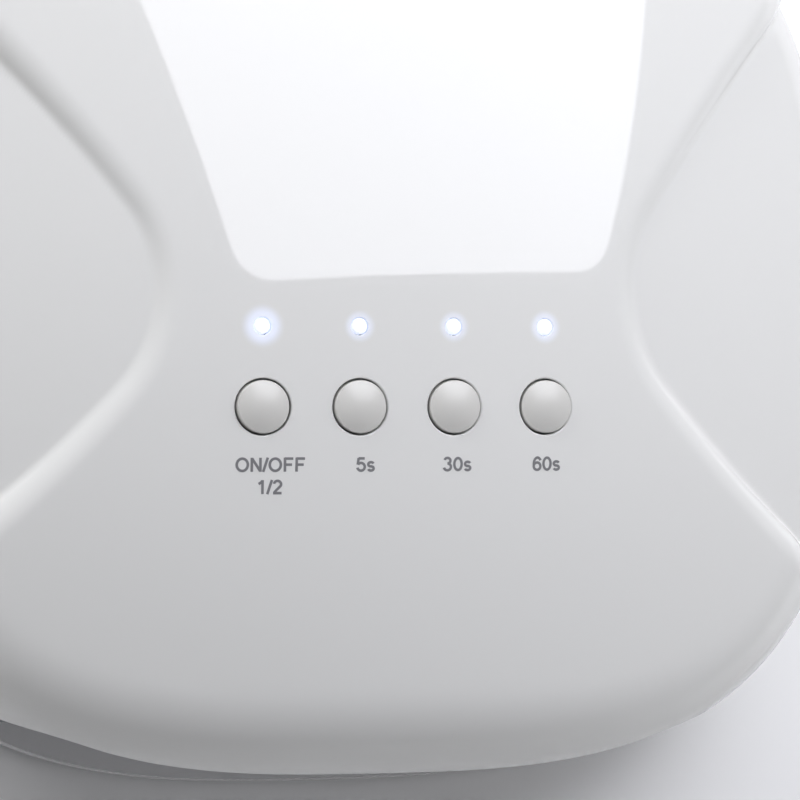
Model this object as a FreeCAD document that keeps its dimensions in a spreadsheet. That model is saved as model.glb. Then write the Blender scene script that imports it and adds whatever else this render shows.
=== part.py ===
"""A table-top UV curing lamp: a glossy hourglass cover over a mirrored tunnel, four round
push buttons with a lamp above each, an inlet for the adapter, and a lift-off magnetic tray."""

import FreeCAD, Part
import math
import os
import re
import Sketcher
from FreeCAD import Placement, Rotation
from FreeCAD import Vector as V

os.makedirs("parts", exist_ok=True)
doc = FreeCAD.newDocument("UvCuringLamp")

# ---------------------------------------------------------------- driving dimensions (mm)
SIZES = {
    # cover: plan half sizes at four heights, domes, waist and wall
    "cover_bottom": 6.0, "belly_rise": 24.0, "shoulder_rise": 54.0, "crown_rise": 84.0,
    "foot_half_width": 93.0, "foot_half_depth": 86.0,
    "belly_half_width": 96.0, "belly_half_depth": 89.0,
    "shoulder_half_width": 92.5, "shoulder_half_depth": 86.0,
    "crown_half_width": 85.0, "crown_half_depth": 79.0,
    "plan_power": 3.0, "cover_wall": 2.4,
    "spine_top": 77.0, "spine_cross": 280.0, "crown_along": 300.0, "crown_y": 20.0,
    "wing_top": 76.6, "wing_cross": 212.0, "wing_inset": 1.5,
    "shoulder_round": 20.0, "band_round": 6.0,
    "waist_half": 45.3, "waist_y": -4.0, "waist_round": 24.0,
    "waist_front_angle": 41.0, "waist_back_angle": 34.0,
    "flare_front": 185.0, "flare_front_sweep": 16.0,
    "flare_back": 400.0, "flare_back_sweep": 9.0,
    "opening_width": 148.0, "opening_top": 46.0,
    # control panel, in the panel's own frame on top of the spine
    "panel_y": -26.0, "button_pitch": 17.4, "button_hole": 5.0, "button_radius": 4.65,
    "button_dome": 1.3, "button_edge": 0.35, "flange_radius": 5.9, "flange_thick": 0.8,
    "flange_top": -3.4, "stem_radius": 1.5,
    "lamp_offset": 14.1, "lamp_hole": 1.6, "lamp_radius": 1.45, "lamp_stand": 0.35,
    "lamp_flange": 1.9, "lamp_seat": -5.6, "lead_radius": 0.25, "lead_spread": 0.6,
    "plunger_top": -7.4, "plunger_length": 2.8, "plunger_radius": 1.7, "plunger_bore": 1.75,
    "switch_top": -8.4, "switch_side": 6.0, "bore_depth": 2.6,
    "board_top": -12.0, "board_thick": 1.6, "board_width": 84.0, "board_depth": 34.0,
    "board_shift": 2.0, "post_radius": 2.6, "pilot_radius": 1.0, "pilot_depth": 5.0,
    "board_hole": 1.4, "post_x": 38.0, "post_front": -11.5, "post_back": 15.5,
    # mirrored tunnel and the frame round its foot
    "tunnel_width": 147.5, "tunnel_top": 45.75, "tunnel_wall": 1.8, "tunnel_back": 58.0,
    "tunnel_front": -100.0, "tunnel_round": 20.0, "tunnel_plan_round": 40.0,
    "rim_inset": 1.0, "frame_bottom": 6.5, "frame_thick": 2.2, "frame_inset": 4.5,
    "standoff": 1.5, "standoff_radius": 2.3, "lens_hole": 3.0, "lens_radius": 2.4,
    "emitter_side": 5.0, "emitter_thick": 1.2,
    "ceiling_pitch_x": 42.0, "ceiling_pitch_y": 36.0, "ceiling_y": -12.0,
    "ceiling_width": 106.0, "ceiling_depth": 92.0, "ceiling_screw_x": 30.0,
    "ceiling_screw_y": 41.0, "side_pitch": 25.0, "side_y": -10.0, "side_z": 16.5,
    "side_length": 62.0, "side_height": 13.0, "side_screw": 12.5,
    "boss_radius": 3.4, "boss_height": 22.0, "screw_radius": 1.25, "screw_hole": 1.6,
    "screw_head": 2.6, "head_well": 2.8, "well_depth": 1.4, "small_screw": 0.9,
    "small_head": 2.0, "head_thick": 1.4,
    # inlet for the adapter, in the rear wall
    "inlet_z": 20.0, "inlet_face": 88.2, "inlet_collar": 5.0, "inlet_hole": 5.2,
    "inlet_bore": 3.0, "inlet_pin": 1.0, "pin_free": 8.5, "pin_root": 78.3,
    "inlet_shoulder": 84.0, "inlet_back": 74.0, "inlet_side": 11.0,
    "vent_width": 2.0, "vent_height": 14.0, "vent_pitch": 5.0, "vent_first": 20.0,
    # tray
    "tray_inset": 0.4, "tray_bottom": 1.5, "tray_top": 5.8, "tray_hollow": 2.2,
    "tray_edge": 1.0, "sheet_width": 132.0, "sheet_front": -74.0, "sheet_back": 54.0,
    "sheet_thick": 0.3, "sheet_corner": 8.0, "foot_radius": 8.0, "foot_x": 62.0,
    "foot_y": 50.0, "magnet_radius": 3.5, "magnet_thick": 2.0, "disc_thick": 1.0,
    "wire_radius": 0.6,
}
sheet = doc.addObject("Spreadsheet::Sheet", "Sizes")
for row, (alias, number) in enumerate(SIZES.items(), 1):
    sheet.set(f"A{row}", alias.replace("_", " "))
    sheet.set(f"B{row}", str(number))
    sheet.setAlias(f"B{row}", alias)
doc.recompute()


def size(alias):
    """The value of one cell of the sheet."""
    return float(sheet.get(alias))


def cell(text):
    """An expression on the sheet: 'tray_top - 1' becomes 'Sizes.tray_top - 1'."""
    return re.sub(r"[a-z_]+", lambda word: "Sizes." * (word[0] in SIZES) + word[0], str(text))


def amount(text):
    """The number that such an expression gives now."""
    return float(FreeCAD.Units.Quantity(sheet.evalExpression(cell(text))).Value)


# ---------------------------------------------------------------- how the pieces are drawn
SUBPARTS = []


def primitive(kind, at, turn=None, **sizes):
    """A Part primitive whose sizes and place follow the sheet; turn is (x, y, z, degrees)."""
    piece = doc.addObject("Part::" + kind, kind)
    if turn:
        piece.Placement = Placement(V(0, 0, 0), Rotation(V(*turn[:3]), turn[3]))
    for name, value in sizes.items():
        piece.setExpression(name, cell(value))
    for axis, value in zip("xyz", at):
        piece.setExpression("Placement.Base." + axis, cell(value))
    return piece


def block(x, y, z, length, width, height):
    """A box centred on x and y, standing on z."""
    corner = (f"{x} - ({length}) / 2", f"{y} - ({width}) / 2", z)
    return primitive("Box", corner, Length=length, Width=width, Height=height)


def rod(x, y, z, radius, height, turn=None):
    """A cylinder that starts at x, y, z and runs up, or along its turned axis."""
    return primitive("Cylinder", (x, y, z), turn, Radius=radius, Height=height)


def fuse(*pieces):
    """Joined solids, or a group of separate ones."""
    joined = doc.addObject("Part::MultiFuse", "Fuse")
    joined.Shapes = list(pieces)
    joined.Refine = False
    return joined


def cut(base, *tools):
    """A solid less its tools."""
    left = doc.addObject("Part::Cut", "Cut")
    left.Base = base
    left.Tool = tools[0] if len(tools) == 1 else fuse(*tools)
    left.Refine = False
    return left


def keep(*pieces):
    """What all the pieces share."""
    shared = doc.addObject("Part::MultiCommon", "Common")
    shared.Shapes = list(pieces)
    shared.Refine = False
    return shared


def round_off(base, radius, wanted):
    """Rounds the edges that wanted() picks."""
    doc.recompute()
    rounded = doc.addObject("Part::Fillet", "Fillet")
    rounded.Base = base
    edges = enumerate(base.Shape.Edges, 1)
    rounded.Edges = [(number, radius, radius) for number, edge in edges if wanted(edge)]
    return rounded


def formed(shape):
    """A solid of free curved faces, which no primitive or sketch gives."""
    piece = doc.addObject("Part::Feature", "Form")
    piece.Shape = shape
    return piece


def subpart(name, piece, place=None):
    """Names a finished sub-part and stands it in its place."""
    piece.Label = name
    if place is not None:
        piece.Placement = place
    SUBPARTS.append(piece)
    return piece


def new_sketch(body, role):
    """A sketch on one of the body's own origin planes."""
    plane = [feature for feature in body.Origin.OriginFeatures if feature.Role == role][0]
    sketch = body.newObject("Sketcher::SketchObject", "Sketch")
    sketch.AttachmentSupport = [(plane, "")]
    sketch.MapMode = "FlatFace"
    return sketch


def pin_point(sketch, element, end, across, up):
    """Places a sketch point by two expressions; a zero puts it on the axis itself."""
    for kind, axis, value in (("DistanceX", -2, across), ("DistanceY", -1, up)):
        if abs(amount(value)) < 1e-9:
            sketch.addConstraint(Sketcher.Constraint("PointOnObject", element, end, axis))
            continue
        rule = Sketcher.Constraint(kind, -1, 1, element, end, amount(value))
        number = sketch.addConstraint(rule)
        sketch.setExpression(f"Constraints[{number}]", cell(value))


def turned(profile):
    """A PartDesign body revolved about its own Z. The profile's corners are expressions for
    (radius, height); 'dome' before a corner makes the line to it an arc centred on Z."""
    body = doc.addObject("PartDesign::Body", "Body")
    sketch = new_sketch(body, "XZ_Plane")
    corners = [V(amount(corner[-2]), amount(corner[-1]), 0) for corner in profile]
    ends = []
    for number, corner in enumerate(profile):
        start, stop = corners[number - 1], corners[number]
        if corner[0] != "dome":
            sketch.addGeometry(Part.LineSegment(start, stop), False)
            ends.append((1, 2))
            continue
        middle = (stop.x**2 + stop.y**2 - start.x**2 - start.y**2) / (2 * (stop.y - start.y))
        radius = math.hypot(start.x, start.y - middle)
        angles = [math.atan2(point.y - middle, point.x) for point in (start, stop)]
        circle = Part.Circle(V(0, middle, 0), V(0, 0, 1), radius)
        sketch.addGeometry(Part.ArcOfCircle(circle, min(angles), max(angles)), False)
        ends.append((1, 2) if angles[0] < angles[1] else (2, 1))
        sketch.addConstraint(Sketcher.Constraint("PointOnObject", number, 3, -2))
    for number, corner in enumerate(profile):
        after = (number + 1) % len(profile)
        meet = Sketcher.Constraint("Coincident", number, ends[number][1], after, ends[after][0])
        sketch.addConstraint(meet)
        pin_point(sketch, number, ends[number][1], corner[-2], corner[-1])
    turn = body.newObject("PartDesign::Revolution", "Turn")
    turn.Profile = sketch
    turn.ReferenceAxis = (sketch, ["V_Axis"])
    turn.Angle = 360
    return body


def plate(width, depth, thick, holes, shift=0):
    """A PartDesign board with round holes (x, y, radius), its upper face at its own zero."""
    body = doc.addObject("PartDesign::Body", "Body")
    sketch = new_sketch(body, "XY_Plane")
    left, right = f"-({width}) / 2", f"({width}) / 2"
    front, back = f"{shift} - ({depth}) / 2", f"{shift} + ({depth}) / 2"
    outline = [(left, front), (right, front), (right, back), (left, back)]
    corners = [V(amount(x), amount(y), 0) for x, y in outline]
    for number in range(4):
        line = Part.LineSegment(corners[number - 1], corners[number])
        sketch.addGeometry(line, False)
    for number, (x, y) in enumerate(outline):
        meet = Sketcher.Constraint("Coincident", number, 2, (number + 1) % 4, 1)
        sketch.addConstraint(meet)
        pin_point(sketch, number, 2, x, y)
    for number, (x, y, radius) in enumerate(holes, 4):
        circle = Part.Circle(V(amount(x), amount(y), 0), V(0, 0, 1), amount(radius))
        sketch.addGeometry(circle, False)
        pin_point(sketch, number, 3, x, y)
        rule = sketch.addConstraint(Sketcher.Constraint("Radius", number, amount(radius)))
        sketch.setExpression(f"Constraints[{rule}]", cell(radius))
    pad = body.newObject("PartDesign::Pad", "Pad")
    pad.Profile = sketch
    pad.setExpression("Length", cell(thick))
    pad.Reversed = True
    return body


# ---------------------------------------------------------------- the panel's own frame
# The panel lies on the crown of the spine. In its frame x is across, y is up the panel
# towards the back, and z stands out of the cover.
PANEL_RUN = size("crown_y") - size("panel_y")
PANEL_TILT = math.degrees(math.asin(PANEL_RUN / size("crown_along")))
PANEL_Z = size("spine_top") - size("crown_along") + math.sqrt(
    size("crown_along") ** 2 - PANEL_RUN**2
)
PANEL = Placement(V(0, size("panel_y"), PANEL_Z), Rotation(V(1, 0, 0), PANEL_TILT))


def crown(x, y):
    """The height of the cover's skin over the panel's frame, as an expression."""
    drop = f"(spine_cross - sqrt(spine_cross^2 - ({x})^2))"
    return f"(sqrt((crown_along - {drop})^2 - ({y})^2) - crown_along)"


BUTTON_STEPS = {"on_off": -1.5, "short": -0.5, "medium": 0.5, "long": 1.5}
BUTTONS = {name: f"({step} * button_pitch)" for name, step in BUTTON_STEPS.items()}
POSTS = [(side + " * post_x", y) for side in ("-1", "1") for y in ("post_front", "post_back")]
BOSSES = [(-82.5, -30), (82.5, -30), (-82.5, 34), (82.5, 34), (-45, 73.5), (45, 73.5)]
MAGNETS = [(-78.4, -42), (78.4, -42), (-70, 50), (70, 50)]
CEILING_LAMPS = [
    (f"{i} * ceiling_pitch_x", f"ceiling_y + {j} * ceiling_pitch_y")
    for i in (-1, 0, 1)
    for j in (-1, 0, 1)
]
CEILING_SCREWS = [
    (f"{i} * ceiling_screw_x", f"ceiling_y + {j} * ceiling_screw_y")
    for i in (-1, 1)
    for j in (-1, 1)
]
SIDE_LAMPS = [f"side_y + {i} * side_pitch" for i in (-1, 0, 1)]
SIDE_SCREWS = [f"side_y + {i} * side_screw" for i in (-1, 1)]
SIDES = {"left": -1, "right": 1}


# ---------------------------------------------------------------- cover
def plan_ring(half_width, half_depth, height):
    """A closed superellipse, the cover's plan at one height."""
    power = size("plan_power")
    points = []
    for step in range(40):
        turn = 2 * math.pi * step / 40
        across = abs(math.cos(turn) / half_width) ** power
        along = abs(math.sin(turn) / half_depth) ** power
        radius = (across + along) ** (-1 / power)
        points.append(V(radius * math.cos(turn), radius * math.sin(turn), height))
    curve = Part.BSplineCurve()
    curve.interpolate(Points=points, PeriodicFlag=True)
    return Part.Wire([curve.toShape()])


def barrel(inset):
    """The cover's side wall as a solid drum, its plan shrunk by inset."""
    rings = []
    for name in ("foot", "belly", "shoulder", "crown"):
        rise = 0 if name == "foot" else size(name + "_rise")
        half_width = size(name + "_half_width") - inset
        half_depth = size(name + "_half_depth") - inset
        rings.append(plan_ring(half_width, half_depth, size("cover_bottom") + rise))
    return Part.makeLoft(rings, True, False)


def dome(top, cross, along):
    """A crowned solid: an arc across, swept round an axis that lies far below."""
    half, y, axis = 130, size("crown_y"), top - along
    drop = cross - math.sqrt(cross**2 - half**2)
    left, middle, right = V(-half, y, top - drop), V(0, y, top), V(half, y, top - drop)
    low_right, low_left = V(half, y, axis + 20), V(-half, y, axis + 20)
    edges = [
        Part.Arc(left, middle, right).toShape(),
        Part.makeLine(right, low_right),
        Part.makeLine(low_right, low_left),
        Part.makeLine(low_left, left),
    ]
    profile = Part.Face(Part.Wire(edges))
    profile.rotate(V(0, y, axis), V(1, 0, 0), -40)
    return profile.revolve(V(0, y, axis), V(1, 0, 0), 80)


def rounded_drum(inset, top, cross, wall):
    """The drum under one dome, with the round shoulder between them."""
    crowned = barrel(inset + wall).common(dome(top - wall, cross - wall,
                                               size("crown_along") - wall)).Solids[0]
    shoulder = [edge for edge in crowned.Edges if edge.BoundBox.ZMin > size("belly_rise")]
    return crowned.makeFillet(size("shoulder_round") - wall, shoulder)


def flare(inset, side, angle, length, sweep):
    """Half of one side of the waist: a tight arc, a slow one, and a far end."""
    x, y = size("waist_half") - inset, size("waist_y")
    tight, slow = size("waist_round") + inset, size(length) + inset
    bend, end = math.radians(size(angle)), math.radians(size(angle) + size(sweep))

    def tight_at(turn):
        return V(x + tight * (1 - math.cos(turn)), y + side * tight * math.sin(turn), 0)

    def slow_at(turn):
        across = slow * (math.cos(bend) - math.cos(turn))
        return tight_at(bend) + V(across, side * slow * (math.sin(turn) - math.sin(bend)), 0)

    far = slow_at(end) + V(math.sin(end), side * math.cos(end), 0) * 90
    edges = [
        Part.Arc(tight_at(0), tight_at(bend / 2), tight_at(bend)).toShape(),
        Part.Arc(tight_at(bend), slow_at((bend + end) / 2), slow_at(end)).toShape(),
        Part.makeLine(slow_at(end), far),
    ]
    return edges, far


def waist(inset):
    """The hourglass column that the raised spine is cut from."""
    front, far_front = flare(inset, -1, "waist_front_angle", "flare_front", "flare_front_sweep")
    back, far_back = flare(inset, 1, "waist_back_angle", "flare_back", "flare_back_sweep")
    right = front + back
    left = [edge.mirror(V(0, 0, 0), V(1, 0, 0)) for edge in right]
    ends = [Part.makeLine(far, V(-far.x, far.y, 0)) for far in (far_front, far_back)]
    outline = Part.Wire(Part.__sortEdges__(right + left + ends))
    return Part.Face(outline).extrude(V(0, 0, 120))


def is_wall(face):
    """True for the upright faces of the hourglass column."""
    if isinstance(face.Surface, Part.Cylinder):
        return abs(face.Surface.Axis.z) > 0.99
    return isinstance(face.Surface, Part.Plane) and abs(face.Surface.Axis.z) < 0.01


def cover_form(wall):
    """The cover's outer form, or its hollow when a wall thickness is taken off."""
    spine = rounded_drum(0, size("spine_top"), size("spine_cross"), wall)
    wings = rounded_drum(size("wing_inset"), size("wing_top"), size("wing_cross"), wall)
    column = spine.common(waist(wall)).Solids[0]
    skin = [f for f in column.Faces if not is_wall(f) and not isinstance(f.Surface, Part.Plane)]
    skin_edges = [edge for face in skin for edge in face.Edges]
    brow = []
    for face in column.Faces:
        for edge in face.Edges if is_wall(face) else []:
            if any(edge.isSame(other) for other in skin_edges):
                brow.append(edge)
    band = column.makeFillet(size("band_round") - wall, brow)
    lobes = wings.cut(waist(wall + 8))
    return band.fuse(lobes.Solids).Solids[0]


OUTER = cover_form(0)
shell = formed(OUTER.cut(cover_form(size("cover_wall"))))

# the mouth: a wide opening with round upper corners, cut through the front wall only
mouth_round = "(opening_top - tunnel_top + tunnel_round)"
mouth = fuse(
    block(0, -90, 0, "opening_width", 60, f"opening_top - {mouth_round}"),
    block(0, -90, 0, f"opening_width - 2 * {mouth_round}", 60, "opening_top"),
    *[
        rod(f"{side} * (opening_width / 2 - {mouth_round})", -60, f"opening_top - {mouth_round}",
            mouth_round, 60, (1, 0, 0, 90))
        for side in (-1, 1)
    ],
)
panel_holes = fuse(
    *[rod(x, 0, -10, "button_hole", 20) for x in BUTTONS.values()],
    *[rod(x, "lamp_offset", -10, "lamp_hole", 20) for x in BUTTONS.values()],
)
panel_holes.Placement = PANEL
posts = fuse(
    *[rod(x, y, "board_top", "post_radius", f"{crown(x, y)} - 1.2 - board_top") for x, y in POSTS]
)
posts.Placement = PANEL
post_pilots = fuse(*[rod(x, y, "board_top", "pilot_radius", "pilot_depth") for x, y in POSTS])
post_pilots.Placement = PANEL
vents = [
    block(f"{side} * (vent_first + {step} * vent_pitch)", 88, "inlet_z - vent_height / 2",
          "vent_width", 16, "vent_height")
    for side in (-1, 1)
    for step in range(5)
]
inlet_opening = rod(0, 96, "inlet_z", "inlet_hole", 20, (1, 0, 0, 90))
boss_foot = "frame_bottom + frame_thick"
bosses = []
for x, y in BOSSES:
    bosses.append(rod(x, y, boss_foot, "boss_radius", "boss_height"))
    if abs(x) > 60:
        bosses.append(block(x * 1.04, y, boss_foot, 9, 1.6, "boss_height"))
    else:
        bosses.append(block(x, y + 4.5, boss_foot, 1.6, 9, "boss_height"))
boss_limit = formed(barrel(2))
boss_pilots = [rod(x, y, boss_foot, "screw_radius", "boss_height - 4") for x, y in BOSSES]
walls = fuse(shell, posts, keep(fuse(*bosses), boss_limit))
cover = cut(walls, mouth, panel_holes, post_pilots, inlet_opening, *vents, *boss_pilots)
subpart("top_cover", cover)

# ---------------------------------------------------------------- buttons and their switches
for name, x in BUTTONS.items():
    skin_z = crown(x, 0)
    cap = turned([
        ("0", f"{skin_z} + button_dome"),
        ("dome", "button_radius", f"{skin_z} + button_edge"),
        ("button_radius", f"{skin_z} + flange_top"),
        ("flange_radius", f"{skin_z} + flange_top"),
        ("flange_radius", f"{skin_z} + flange_top - flange_thick"),
        ("stem_radius", f"{skin_z} + flange_top - flange_thick"),
        ("stem_radius", "plunger_top"),
        ("0", "plunger_top"),
    ])
    at_button = PANEL.multiply(Placement(V(amount(x), 0, 0), Rotation()))
    subpart(f"button_{name}", cap, at_button)
    plunger = turned([
        ("0", "plunger_top"),
        ("plunger_radius", "plunger_top"),
        ("plunger_radius", "plunger_top - plunger_length"),
        ("0", "plunger_top - plunger_length"),
    ])
    subpart(f"plunger_{name}", plunger, at_button)

housings = [
    cut(block(x, 0, "board_top", "switch_side", "switch_side", "switch_top - board_top"),
        rod(x, 0, "switch_top - bore_depth", "plunger_bore", "bore_depth + 1"))
    for x in BUTTONS.values()
]
subpart("switch_housings", fuse(*housings), PANEL)

# ---------------------------------------------------------------- indicator lamps
for name, x in BUTTONS.items():
    skin_z = crown(x, "lamp_offset")
    lamp = turned([
        ("0", f"{skin_z} + lamp_stand"),
        ("dome", "lamp_radius", f"{skin_z} - lamp_stand"),
        ("lamp_radius", "lamp_seat + flange_thick"),
        ("lamp_flange", "lamp_seat + flange_thick"),
        ("lamp_flange", "lamp_seat"),
        ("0", "lamp_seat"),
    ])
    at_lamp = PANEL.multiply(Placement(V(amount(x), size("lamp_offset"), 0), Rotation()))
    subpart(f"indicator_{name}", lamp, at_lamp)

spacers = [
    cut(rod(x, "lamp_offset", "board_top", "lamp_flange", "lamp_seat - board_top"),
        rod(x, "lamp_offset", "board_top - 1", 1.0, "lamp_seat - board_top + 2"))
    for x in BUTTONS.values()
]
subpart("indicator_spacers", fuse(*spacers), PANEL)
LEADS = [f"{x} + {side} * lead_spread" for x in BUTTONS.values() for side in (-1, 1)]
leads = [
    rod(x, "lamp_offset", "board_top - board_thick", "lead_radius",
        "lamp_seat - board_top + board_thick")
    for x in LEADS
]
subpart("indicator_leads", fuse(*leads), PANEL)

# ---------------------------------------------------------------- control board and its parts
board_holes = [(x, y, "board_hole") for x, y in POSTS]
board_holes += [(x, "lamp_offset", "lead_radius + 0.1") for x in LEADS]
at_board = PANEL.multiply(Placement(V(0, 0, size("board_top")), Rotation()))
board = plate("board_width", "board_depth", "board_thick", board_holes, "board_shift")
subpart("control_board", board, at_board)

under = "(board_top - board_thick)"
chip = [block(-12, -6, f"{under} - 1.6", 10, 8, 1.4)]
for step in range(8):
    for side in (-1, 1):
        chip.append(block(-15.85 + step * 1.1, -6 + side * 4.8, f"{under} - 0.8", 0.45, 1.6, 0.8))
subpart("controller_chip", fuse(*chip), PANEL)
capacitors = [rod(x, -8, f"{under} - 2.6", 2.5, 9, (0, 1, 0, 90)) for x in (2, 14)]
subpart("capacitors", fuse(*capacitors), PANEL)
inductors = [
    fuse(rod(x, -7, f"{under} - 4", 4, 1.0), rod(x, -7, f"{under} - 4", 2.8, 4),
         rod(x, -7, f"{under} - 1", 4, 1.0))
    for x in (30, -30)
]
subpart("inductors", fuse(*inductors), PANEL)
drivers = [
    fuse(block(x, 3, f"{under} - 2.2", 6, 5.6, 2.2), block(x, 6.6, f"{under} - 0.6", 5, 1.6, 0.6))
    for x in (-24, -2, 20)
]
subpart("driver_transistors", fuse(*drivers), PANEL)
SOCKETS = {"power": -10, "ceiling": 10, "left": -28, "right": 28}
sockets = [
    cut(block(x, 15, f"{under} - 5", 8, 6, 5), block(x, 17, f"{under} - 4.2", 6.4, 5, 3.4))
    for x in SOCKETS.values()
]
subpart("board_sockets", fuse(*sockets), PANEL)
board_screws = [
    fuse(rod(x, y, f"{under} - head_thick", "small_head", "head_thick"),
         rod(x, y, under, "pilot_radius", "board_thick + pilot_depth - 0.5"))
    for x, y in POSTS
]
slots = [block(x, y, f"{under} - head_thick - 0.1", 2.6, 0.5, 0.7) for x, y in POSTS]
subpart("board_screws", cut(fuse(*board_screws), *slots), PANEL)


# ---------------------------------------------------------------- mirrored tunnel
def plan_corner(edge):
    """The two upright edges at the back."""
    box = edge.BoundBox
    return box.ZLength > 10 and box.YMin > 0


def top_edge(edge):
    """The edges round the ceiling, but not the one across the front."""
    box = edge.BoundBox
    return box.ZLength < 0.01 and box.ZMin > 30 and box.YMax > -50


def tunnel_form(block_piece, wall):
    """A tunnel block with its plan corners and its ceiling's edges rounded."""
    plan = round_off(block_piece, size("tunnel_plan_round") - wall, plan_corner)
    return round_off(plan, size("tunnel_round") - wall, top_edge)


middle_y = "(tunnel_back + tunnel_front) / 2"
tunnel_depth = "tunnel_back - tunnel_front"
outside = tunnel_form(
    block(0, middle_y, "frame_bottom", "tunnel_width", tunnel_depth, "tunnel_top - frame_bottom"),
    0,
)
hollow = tunnel_form(
    block(0, f"{middle_y} - tunnel_wall", "frame_bottom - 2", "tunnel_width - 2 * tunnel_wall",
          tunnel_depth, "tunnel_top - tunnel_wall - frame_bottom + 2"),
    size("tunnel_wall"),
)
rim_limit = formed(barrel(size("rim_inset")))
frame_limit = formed(barrel(size("frame_inset")))
foot_slab = block(0, 0, "frame_bottom", 220, 220, "frame_thick")
pedestal = block(0, 79.5, boss_foot, 13, 9, "inlet_z - inlet_side / 2 - frame_bottom - frame_thick")
ceiling_standoffs = [
    rod(x, y, "tunnel_top - 0.5", "standoff_radius", "standoff + 0.5") for x, y in CEILING_SCREWS
]
side_standoffs = [
    rod(f"{side} * (tunnel_width / 2 - 0.5)", y, "side_z", "standoff_radius", "standoff + 0.5",
        (0, 1, 0, 90 * side))
    for side in SIDES.values()
    for y in SIDE_SCREWS
]
tunnel_solid = fuse(
    keep(outside, rim_limit), keep(foot_slab, frame_limit), pedestal,
    *ceiling_standoffs, *side_standoffs,
)
ceiling_holes = [rod(x, y, "tunnel_top - 6", "lens_hole", 10) for x, y in CEILING_LAMPS]
side_holes = [
    rod(f"{side} * (tunnel_width / 2 - 6)", y, "side_z", "lens_hole", 10, (0, 1, 0, 90 * side))
    for side in SIDES.values()
    for y in SIDE_LAMPS
]
ceiling_pilots = [
    rod(x, y, "tunnel_top - 1", "small_screw", "standoff + 2") for x, y in CEILING_SCREWS
]
side_pilots = [
    rod(f"{side} * (tunnel_width / 2 - 1)", y, "side_z", "small_screw", "standoff + 2",
        (0, 1, 0, 90 * side))
    for side in SIDES.values()
    for y in SIDE_SCREWS
]
frame_holes = []
for x, y in BOSSES:
    frame_holes.append(rod(x, y, "frame_bottom - 1", "screw_hole", "frame_thick + 2"))
    frame_holes.append(rod(x, y, "frame_bottom - 1", "head_well", "well_depth + 1"))
magnet_wells = [
    rod(x, y, "frame_bottom + 0.5", "magnet_radius", "magnet_thick + 2") for x, y in MAGNETS
]
tunnel = cut(tunnel_solid, hollow, *ceiling_holes, *side_holes, *ceiling_pilots, *side_pilots,
             *frame_holes, *magnet_wells)
subpart("reflector_tunnel", tunnel)
magnets = [rod(x, y, "frame_bottom + 0.5", "magnet_radius", "magnet_thick") for x, y in MAGNETS]
subpart("magnets", fuse(*magnets))

frame_screws = [
    fuse(rod(x, y, "frame_bottom", "screw_head", "well_depth"),
         rod(x, y, "frame_bottom + well_depth", "screw_radius", 12))
    for x, y in BOSSES
]
crosses = []
for x, y in BOSSES:
    crosses.append(block(x, y, "frame_bottom - 0.1", 3, 0.6, 0.9))
    crosses.append(block(x, y, "frame_bottom - 0.1", 0.6, 3, 0.9))
subpart("frame_screws", cut(fuse(*frame_screws), *crosses))

# ---------------------------------------------------------------- curing lamps on their boards
ceiling_face = "tunnel_top + standoff"
screw_holes = [(x, f"{y} - ceiling_y", "small_screw + 0.2") for x, y in CEILING_SCREWS]
ceiling_board = plate("ceiling_width", "ceiling_depth", "board_thick", screw_holes)
board_height = amount(f"{ceiling_face} + board_thick")
subpart("led_board_ceiling", ceiling_board,
        Placement(V(0, size("ceiling_y"), board_height), Rotation()))
emitters = [
    block(x, y, f"{ceiling_face} - emitter_thick", "emitter_side", "emitter_side",
          "emitter_thick")
    for x, y in CEILING_LAMPS
]
subpart("emitters_ceiling", fuse(*emitters))
lens_base = f"({ceiling_face} - emitter_thick)"
lenses = [
    fuse(rod(x, y, f"{lens_base} - 0.9", "lens_radius", 0.9),
         primitive("Sphere", (x, y, f"{lens_base} - 0.9"), Radius="lens_radius", Angle1=-90,
                   Angle2=0))
    for x, y in CEILING_LAMPS
]
subpart("lenses_ceiling", fuse(*lenses))
ceiling_screws = [
    fuse(rod(x, y, f"{ceiling_face} + board_thick", "small_head", "head_thick"),
         rod(x, y, "tunnel_top - 0.8", "small_screw", "standoff + board_thick + 0.8"))
    for x, y in CEILING_SCREWS
]
side_screws = [
    fuse(rod(f"{side} * (tunnel_width / 2 + standoff + board_thick)", y, "side_z", "small_head",
             "head_thick", (0, 1, 0, 90 * side)),
         rod(f"{side} * (tunnel_width / 2 - 0.8)", y, "side_z", "small_screw",
             "standoff + board_thick + 0.8", (0, 1, 0, 90 * side)))
    for side in SIDES.values()
    for y in SIDE_SCREWS
]
subpart("led_board_screws", fuse(*ceiling_screws, *side_screws))

side_plate_holes = [("0", f"{y} - side_y", "small_screw + 0.2") for y in SIDE_SCREWS]
side_out = "(tunnel_width / 2 + standoff)"
for name, side in SIDES.items():
    side_board = plate("side_height", "side_length", "board_thick", side_plate_holes)
    stand = V(side * amount(f"{side_out} + board_thick"), size("side_y"), size("side_z"))
    subpart(f"led_board_{name}", side_board, Placement(stand, Rotation(V(0, 1, 0), 90 * side)))
    emitters = [
        block(f"{side} * ({side_out} - emitter_thick / 2)", y, "side_z - emitter_side / 2",
              "emitter_thick", "emitter_side", "emitter_side")
        for y in SIDE_LAMPS
    ]
    subpart(f"emitters_{name}", fuse(*emitters))
    base = f"{side} * ({side_out} - emitter_thick - 0.9)"
    lenses = [
        fuse(rod(base, y, "side_z", "lens_radius", 0.9, (0, 1, 0, 90 * side)),
             primitive("Sphere", (base, y, "side_z"), (0, 1, 0, 90 * side), Radius="lens_radius",
                       Angle1=-90, Angle2=0))
        for y in SIDE_LAMPS
    ]
    subpart(f"lenses_{name}", fuse(*lenses))

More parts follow.
